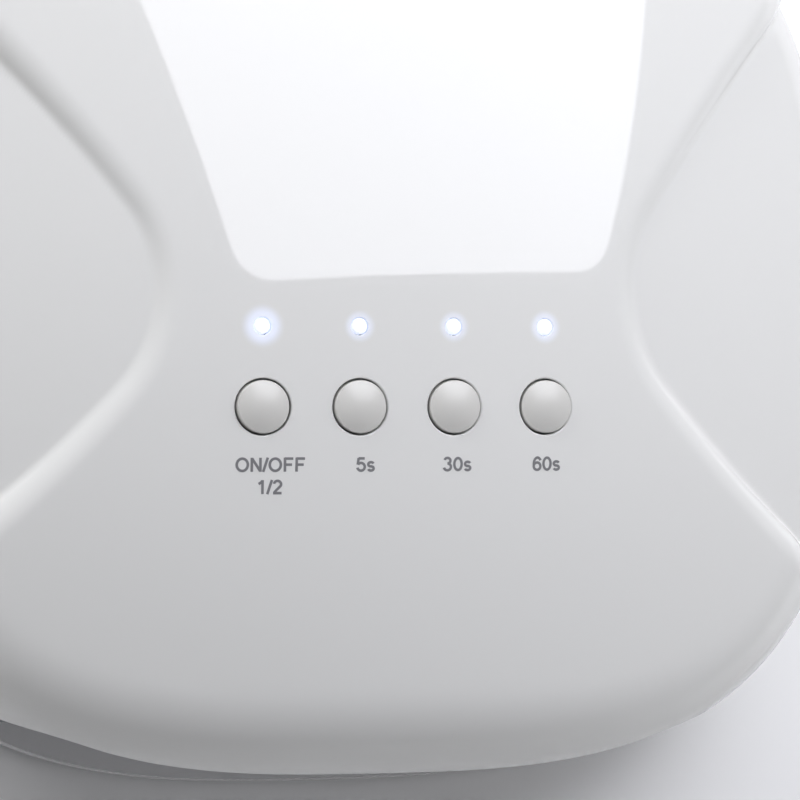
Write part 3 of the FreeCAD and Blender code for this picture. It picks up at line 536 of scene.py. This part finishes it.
# the plug's hole and the vent slots in the rear wall
inlet_z, inlet_hole, inlet_y, inlet_cut = 20.0, 5.2, 86.0, 20.0
plug_way = core("cylinder", "inlet_core", vertices=64, radius=inlet_hole * MM,
                depth=inlet_cut * MM, location=(0, inlet_y * MM, inlet_z * MM),
                rotation=(math.pi / 2, 0, 0))
vent_width, vent_height, vent_round, vent_cut = 2.0, 14.0, 0.95, 16.0
vent_pitch, vents_a_side, vent_first, vent_y = 5.0, 5, -40.0, 88.0
vents = core("cube", "vent_core", size=1,
             location=(vent_first * MM, vent_y * MM, inlet_z * MM),
             scale=(vent_width * MM, vent_cut * MM, vent_height * MM))
ends, p = edge_ends(vents), points_of(vents)
pick(vents, "EDGE", np.ptp(p[ends][:, :, 1], axis=1) > 1)
bpy.ops.mesh.bevel(offset=vent_round * MM, segments=6, affect="EDGES")
bpy.ops.mesh.select_all(action="SELECT")
for slot in range(1, 2 * vents_a_side):
    past_inlet = -2 * vent_first - 2 * (vents_a_side - 1) * vent_pitch
    step = past_inlet if slot == vents_a_side else vent_pitch
    bpy.ops.mesh.duplicate_move(TRANSFORM_OT_translate={"value": (step * MM, 0, 0)})
bpy.ops.object.mode_set(mode="OBJECT")
combine(cover, joined([mouth, plug_way, vents]), "DIFFERENCE")

# four posts under the panel and six bosses on ribs, grown into the inside of the wall
post_radius, post_foot, post_stop = 2.6, -12.0, 1.6
boss_radius, boss_height, boss_z, rib_thick = 3.4, 22.0, 19.7, 1.6
screws = [(side * x, y) for x, y in ((82.5, -30), (82.5, 34), (45, 73.5)) for side in (-1, 1)]
grown = []
for x in (-38.0, 38.0):
    for y in (-11.5, 15.5):
        top = float(crown(x, y)) - post_stop
        middle = off_panel(np.array([x, y, (top + post_foot) / 2])) * MM
        grown.append(core("cylinder", "post", vertices=32, radius=post_radius * MM,
                          depth=(top - post_foot) * MM, location=middle,
                          rotation=(panel_tilt, 0, 0)))
for x, y in screws:
    at_side = abs(x) > 60
    rib_at = (x + math.copysign(4.6, x), y, boss_z) if at_side else (x, y + 4.4, boss_z)
    rib_size = (6.4, rib_thick, boss_height) if at_side else (rib_thick, 7.6, boss_height)
    boss = core("cylinder", "boss", vertices=32, radius=boss_radius * MM,
                depth=boss_height * MM, location=(x * MM, y * MM, boss_z * MM))
    combine(boss, core("cube", "rib", size=1, location=[place * MM for place in rib_at],
                       scale=[side * MM for side in rib_size]), "UNION")
    grown.append(boss)
combine(cover, joined(grown), "UNION")

# the polish: vertices on the moulded face take that face's own direction, so that the
# gloss runs on unbroken, and all others are shaded by angle
smooth_angle, face_angle = math.radians(35), math.radians(50)
alone(cover)
bpy.ops.object.shade_smooth_by_angle(angle=smooth_angle)
distance, way = cover_skin(points_of(cover))
vertex = listed(cover.data.loops, "vertex_index", kind=int)
corners_a_face = listed(cover.data.polygons, "loop_total", kind=int)
facing = np.repeat(listed(cover.data.polygons, "normal", 3), corners_a_face, axis=0)
corner = np.array([item.vector[:] for item in cover.data.corner_normals])
on_face = np.abs(distance)[vertex] < on_skin
on_face &= (facing * way[vertex]).sum(1) > math.cos(face_angle)
corner[on_face] = way[vertex][on_face]
cover.data.normals_split_custom_set(corner)

# Polished white ABS: a neutral white pigment, and a tool polished to a mirror that leaves
# only a slow ripple. Round each lamp the cover has a painted glow: bluish emission in the material
# stands in for the light that scatters in the thin wall.
ripple_width, ripple_depth = 14.0, 0.0012
cover_white, shader = finish_of("mirror polished white ABS", "DDDDDC", 0.035, IOR=1.53)
place = add(cover_white, "TexCoord")
ripple = add(cover_white, "TexNoise", {"Scale": 1 / (ripple_width * MM), "Detail": 1.0},
             Vector=place.outputs["Object"])
bump = add(cover_white, "Bump", {"Strength": 1.0, "Distance": ripple_depth * MM},
           Height=ripple.outputs["Fac"])
cover_white.node_tree.links.new(bump.outputs["Normal"], shader.inputs["Normal"])
lamp_power = {"on_off": 1.0, "short": 0.6, "medium": 0.55, "long": 0.65}
# painted glow on the cover: how far the emission ring reaches round each lamp, and how strong it is
painted_glow_reach = {"on_off": 4.4, "short": 3.2, "medium": 3.2, "long": 3.4}
painted_glow_strength = 0.34


def falloff(material, place, q, reach, level, curve):
    """A value that runs between two levels over two distances in mm from a panel point."""
    point = off_panel(np.array(q)) * MM
    away = add(material, "VectorMath", {"operation": "DISTANCE", 1: tuple(point)},
               _0=place.outputs["Object"])
    near = add(material, "MapRange", {"interpolation_type": curve,
               "From Min": reach[0] * MM, "From Max": reach[1] * MM,
               "To Min": level[0], "To Max": level[1]}, Value=away.outputs["Value"])
    return near.outputs["Result"]


# painted glow: the cover emits most at each lamp's hole and fades out over a few mm, standing in
# for light scattered in the wall
painted_glows = [
    falloff(cover_white, place, (x, lamp_up, crown(x, lamp_up)), (painted_glow_reach[key], lamp_hole),
            (0.0, painted_glow_strength * lamp_power[key]), "SMOOTHERSTEP")
    for key, x in keys.items()
]
painted_glow_total = painted_glows[0]
for painted_glow in painted_glows[1:]:
    painted_glow_total = add(cover_white, "Math", {"operation": "ADD"}, _0=painted_glow_total, _1=painted_glow).outputs["Value"]
shader.inputs["Emission Color"].default_value = linear("BACCFF")
cover_white.node_tree.links.new(painted_glow_total, shader.inputs["Emission Strength"])
cover.data.materials.clear()
cover.data.materials.append(cover_white)
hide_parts("top_cover")
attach(cover, "lamp_head")

# ---------------------------------------------------------------- key caps
# Four domed caps in satin white ABS, each on a flange and a stem that meets its switch.
# Moulded with a fine spark texture, so they look softer and greyer than the polished cover.
cap_radius, cap_dome, cap_edge, edge_round = 4.65, 1.3, 0.35, 0.28
flange_radius, flange_top, flange_thick = 5.9, -3.4, 0.8
flange_bevel, root_round, stem_radius, stem_end = 0.15, 0.2, 1.5, -7.4
satin_white, shader = finish_of("satin white ABS", "CBCAC7", 0.3, IOR=1.53)
grain(satin_white, shader, 0.12, 0.0035, 0.01)


def spun(name, profile, centre, steps):
    """A turned piece: the profile of (radius, height) in mm spun about the panel's normal."""
    bpy.ops.object.select_all(action="DESELECT")
    bpy.ops.mesh.primitive_circle_add(vertices=len(profile), radius=MM, location=(0, 0, 0))
    piece = bpy.context.object
    piece.name = name
    place_points(piece, np.array([(radius, 0, height) for radius, height in profile]))
    closing = np.ptp(edge_ends(piece), axis=1) > 1
    pick(piece, "EDGE", closing)
    bpy.ops.mesh.delete(type="EDGE")
    bpy.ops.mesh.select_all(action="SELECT")
    bpy.ops.mesh.spin(steps=steps, angle=2 * math.pi, center=(0, 0, 0), axis=(0, 0, 1))
    bpy.ops.mesh.select_all(action="SELECT")
    bpy.ops.mesh.remove_doubles(threshold=1e-6)
    bpy.ops.mesh.normals_make_consistent(inside=False)
    bpy.ops.object.mode_set(mode="OBJECT")
    place_points(piece, off_panel(points_of(piece) + centre))
    alone(piece)
    bpy.ops.object.shade_smooth_by_angle(angle=math.radians(40))
    return piece


def oval(x, y, wide, high, first, last, steps):
    """Points along part of an oval, from one angle in degrees to another."""
    turns = [math.radians(first + (last - first) * i / steps) for i in range(steps + 1)]
    return [(x + wide * math.cos(turn), y + high * math.sin(turn)) for turn in turns]


for key, x in keys.items():
    level = float(crown(x, 0.0))
    top, under = level + flange_top, level + flange_top - flange_thick
    inner = cap_radius - edge_round
    sphere = (cap_radius**2 + (cap_dome - cap_edge) ** 2) / (2 * (cap_dome - cap_edge))
    lean = math.degrees(math.asin(inner / sphere))
    dome = oval(0.0, level + cap_dome - sphere, sphere, sphere, 90, 90 - lean, 14)
    dome[0] = (0.0, level + cap_dome)
    shoulder_z = dome[-1][1] - edge_round * math.cos(math.radians(lean))
    profile = dome + oval(inner, shoulder_z, edge_round, edge_round, 90 - lean, 0, 6)[1:]
    profile += [(cap_radius, top + root_round), (cap_radius + root_round, top),
                (flange_radius - flange_bevel, top), (flange_radius, top - flange_bevel),
                (flange_radius, under + flange_bevel), (flange_radius - flange_bevel, under),
                (stem_radius, under), (stem_radius, stem_end), (0.0, stem_end)]
    cap = spun(f"cap_{key}", profile, np.array([x, 0, 0]), 96)
    cap.data.materials.append(satin_white)
    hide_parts(f"button_{key}")
    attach(cap, f"key_{key}")

# ---------------------------------------------------------------- indicator lamps
# Clear 3 mm lamps stand in the holes above the keys, lit cool white. Each has a bright die
# cup under the dome, and a flange that sits on a spacer on the board.
lamp_radius, lamp_stand, lamp_seat = 1.45, 0.35, -5.6
lamp_flange, lamp_flange_thick, lamp_bevel = 1.9, 0.8, 0.1
cup_reach, rim_light, cup_light = (1.4, 0.5), 0.3, 2.2
bond_x, bond_y, bond_reach = 0.5, 0.45, (0.18, 0.42)  # the wire bond's shadow beside the die
for key, x in keys.items():
    level = float(crown(x, lamp_up))
    epoxy, shader = finish_of(f"lit clear epoxy {key}", "F2F5FF", 0.06, IOR=1.54)
    shader.inputs["Emission Color"].default_value = linear("DCE6FF")
    place = add(epoxy, "TexCoord")
    cup = falloff(epoxy, place, (x, lamp_up, level), cup_reach,
                  (rim_light, cup_light * lamp_power[key]), "SMOOTHSTEP")
    bond = falloff(epoxy, place, (x + bond_x, lamp_up + bond_y, level), bond_reach,
                   (0.0, 1.0), "SMOOTHSTEP")
    lit = add(epoxy, "Math", {"operation": "MULTIPLY"}, _0=cup, _1=bond)
    epoxy.node_tree.links.new(lit.outputs["Value"], shader.inputs["Emission Strength"])
    sphere = (lamp_radius**2 + (2 * lamp_stand) ** 2) / (4 * lamp_stand)
    lean = math.degrees(math.asin(lamp_radius / sphere))
    profile = oval(0.0, level + lamp_stand - sphere, sphere, sphere, 90, 90 - lean, 10)
    profile[0] = (0.0, level + lamp_stand)
    flange_z = lamp_seat + lamp_flange_thick
    profile += [(lamp_radius, flange_z), (lamp_flange - lamp_bevel, flange_z),
                (lamp_flange, flange_z - lamp_bevel), (lamp_flange, lamp_seat + lamp_bevel),
                (lamp_flange - lamp_bevel, lamp_seat), (0.0, lamp_seat)]
    lens = spun(f"lens_{key}", profile, np.array([x, lamp_up, 0]), 48)
    lens.data.materials.append(epoxy)
    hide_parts(f"indicator_{key}")
    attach(lens, "lamp_head")

# ---------------------------------------------------------------- lettering
# The keys' uses, pad printed in mid grey ink straight onto the polished cover: plain upright
# letters of even stroke, a film thin enough to follow the crown.
capital, stroke, ink_lift, ink_film = 2.45, 0.19, 0.012, 0.02
ink, shader = finish_of("grey pad printing ink", "78787B", 0.4)
grain(ink, shader, 0.3, 0.001, 0.03)


def bow(x, y, wide, high, first, last):
    """The round part of a letter, with a point about every nine degrees."""
    return oval(x, y, wide, high, first, last, max(6, int(abs(last - first) / 9)))


# each letter: how far it moves the pen on, then its strokes, on a capital one unit high
letters = {
    "O": (1.03, [bow(0.515, 0.5, 0.4, 0.435, 0, 360)]),
    "N": (0.96, [[(0.17, 0), (0.17, 1)], [(0.18, 0.96), (0.78, 0.04)], [(0.79, 0), (0.79, 1)]]),
    "/": (0.388, [[(0.03, -0.01), (0.36, 1.01)]]),
    "F": (0.853, [[(0.185, 0), (0.185, 1)], [(0.15, 0.932), (0.79, 0.932)],
                  [(0.15, 0.5), (0.7, 0.5)]]),
    "0": (0.8, [bow(0.4, 0.5, 0.28, 0.43, 0, 360)]),
    "1": (0.777, [[(0.46, 0), (0.46, 1)], [(0.44, 0.95), (0.36, 0.83), (0.17, 0.72)]]),
    "2": (0.777, [bow(0.38, 0.7, 0.255, 0.24, 172, -30)
                  + [(0.36, 0.34), (0.19, 0.17), (0.13, 0.07)],
                  [(0.06, 0.068), (0.68, 0.068)]]),
    "3": (0.777, [bow(0.37, 0.745, 0.225, 0.2, 165, -90), bow(0.37, 0.3, 0.265, 0.245, 90, -168)]),
    "5": (0.777, [[(0.19, 0.932), (0.65, 0.932)], [(0.2, 0.96), (0.135, 0.48)],
                  bow(0.38, 0.33, 0.275, 0.275, 143, -168)]),
    "6": (0.777, [bow(0.39, 0.32, 0.26, 0.265, 0, 360), bow(0.42, 0.48, 0.29, 0.46, 196, 35)]),
    "s": (0.698, [bow(0.34, 0.51, 0.2, 0.15, 20, 262) + bow(0.34, 0.21, 0.205, 0.15, 82, -162)]),
}


def ribbon(path, shift):
    """One stroke of ink: a strip bent along its path and given the ink film's thickness."""
    line = np.array(path) + [shift, 0]
    closed = np.allclose(line[0], line[-1])
    ahead = np.diff(line, axis=0)
    ahead /= np.linalg.norm(ahead, axis=1, keepdims=True)
    before, after = np.vstack([ahead[:1], ahead]), np.vstack([ahead, ahead[-1:]])
    if closed:
        before[0], after[-1] = ahead[-1], ahead[0]
    way = before + after
    way /= np.linalg.norm(way, axis=1, keepdims=True)
    reach = stroke / 2 / (way * after).sum(1, keepdims=True)
    normal = np.stack([-way[:, 1], way[:, 0]], 1) * reach
    flat = np.concatenate([line + normal, line - normal]) * capital
    bpy.ops.object.select_all(action="DESELECT")
    bpy.ops.mesh.primitive_grid_add(x_subdivisions=len(line) - 1, y_subdivisions=1, size=MM)
    piece = bpy.context.object
    piece.name = "stroke"
    place_points(piece, np.column_stack([flat, np.zeros(len(flat))]))
    bpy.ops.object.mode_set(mode="EDIT")
    bpy.ops.mesh.select_all(action="SELECT")
    bpy.ops.mesh.remove_doubles(threshold=1e-7)
    bpy.ops.mesh.extrude_region_move(TRANSFORM_OT_translate={"value": (0, 0, ink_film * MM)})
    bpy.ops.mesh.select_all(action="SELECT")
    bpy.ops.mesh.normals_make_consistent(inside=False)
    bpy.ops.object.mode_set(mode="OBJECT")
    return piece


# each label: its words, the key it belongs to, and where its top middle lies from that key
first_line, second_line = -10.1, -14.0
labels = [("ON/OFF", "on_off", 1.3, first_line), ("1/2", "on_off", 1.3, second_line),
          ("5s", "short", 1.0, first_line), ("30s", "medium", 0.55, first_line),
          ("60s", "long", 0.2, first_line)]
for words, key, shift, up in labels:
    drawn, pen = [], 0.0
    for letter in words:
        advance, strokes = letters[letter]
        first = ribbon(strokes[0], pen)
        for path in strokes[1:]:
            combine(first, ribbon(path, pen), "UNION")
        drawn.append(first)
        pen += advance
    label = joined(drawn)
    label.name = "print_" + words.replace("/", "_").lower()
    p = points_of(label)
    middle = (p.min(0) + p.max(0)) / 2
    q = np.stack([p[:, 0] - middle[0] + keys[key] + shift, p[:, 1] - capital / 2 + up, p[:, 2]], 1)
    q[:, 2] += crown(q[:, 0], q[:, 1]) + ink_lift
    place_points(label, off_panel(q))
    label.data.materials.clear()
    label.data.materials.append(ink)
    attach(label, "lamp_head")

# ---------------------------------------------------------------- table, light and camera
# A pale matt table, a large softbox above and behind that lies in the cover's gloss, and
# broad weak fills at the sides and back that brighten the wings.
floor_material, shader = finish_of("pale matt table top", "F1F1F2", 0.75)
bpy.ops.object.select_all(action="DESELECT")
bpy.ops.mesh.primitive_plane_add(size=6, location=(0, 0, 0))
table = bpy.context.object
table.name = "table_top"
table.data.materials.append(floor_material)

# the softbox, tapered and pitched so that its image ends just above the indicator lamps
softbox_at, softbox_pitch, softbox_corner, softbox_run = (0.0, 0.012, 0.70), 30.0, 0.038, 0.42
softbox_outline = [(0.016, -0.010), (0.478, 0.020), (0.490, softbox_run), (-0.112, softbox_run)]
bpy.ops.object.select_all(action="DESELECT")
bpy.ops.mesh.primitive_plane_add(size=1, location=(0, 0, 0))
softbox = bpy.context.object
softbox.name = "softbox"
corners = sorted(softbox.data.vertices, key=lambda corner: math.atan2(corner.co.y, corner.co.x))
for corner, (x, y) in zip(corners, softbox_outline):
    corner.co = (x, y, 0)
pick(softbox, "VERT", np.ones(4, bool))
bpy.ops.mesh.bevel(offset=softbox_corner, segments=16, affect="VERTICES")
bpy.ops.object.mode_set(mode="OBJECT")
softbox.data.transform(Matrix.Rotation(math.radians(-softbox_pitch), 4, "X"))
softbox.data.transform(Matrix.Translation(softbox_at))
diffuser, shader = finish_of("softbox diffuser", "000000", 0.5)
shader.inputs["Emission Color"].default_value = linear("F8F9FF")
shader.inputs["Emission Strength"].default_value = 4.81
softbox.data.materials.append(diffuser)
softbox.visible_camera = False

world = bpy.data.worlds.new("studio")
bpy.context.scene.world = world
world.use_nodes = True
world.node_tree.nodes["Background"].inputs["Color"].default_value = linear("EEEEF2")
world.node_tree.nodes["Background"].inputs["Strength"].default_value = 0.12
fill_side, fill_aim = 0.9, Vector((0, 0, 0.05))
fills = {  # where each soft fill stands, in metres, and its watts
    "left_back": (-0.9, 0.8, 0.4, 12.3), "right_back": (0.9, 0.8, 0.4, 3.1),
    "left_low": (-1.0, -0.1, 0.4, 0.7), "right_low": (1.1, -0.1, 0.3, 4.0),
    "front": (0.0, -1.1, 0.45, 1.5),
}
for name, (x, y, z, power) in fills.items():
    lamp = bpy.data.lights.new(name, "AREA")
    lamp.energy, lamp.shape, lamp.size = power, "SQUARE", fill_side
    holder = bpy.data.objects.new(name, lamp)
    bpy.context.scene.collection.objects.link(holder)
    holder.location = (x, y, z)
    aim = fill_aim - holder.location
    holder.rotation_euler = aim.to_track_quat("-Z", "Y").to_euler()
    holder.visible_glossy = False

# a long lens that looks at the key panel from a little to its left
bpy.context.scene.view_settings.view_transform = "Standard"
lens_mm, distance, yaw = 230.85, 900.0, math.radians(18)
target = panel_at - 1.45 * panel_axes[0] + 1.18 * panel_axes[1]
back = -math.sin(yaw) * panel_axes[0] + math.cos(yaw) * panel_axes[2]
sideways = np.cross(panel_axes[1], back)
upward = np.cross(back, sideways)
camera_data = bpy.data.cameras.new("camera")
camera_data.lens, camera_data.sensor_width = lens_mm, 36.0
camera = bpy.data.objects.new("camera", camera_data)
bpy.context.scene.collection.objects.link(camera)
turn = Matrix(np.stack([sideways, upward, back], 1).tolist()).to_4x4()
camera.matrix_world = Matrix.Translation(Vector((target + back * distance) * MM)) @ turn
bpy.context.scene.camera = camera
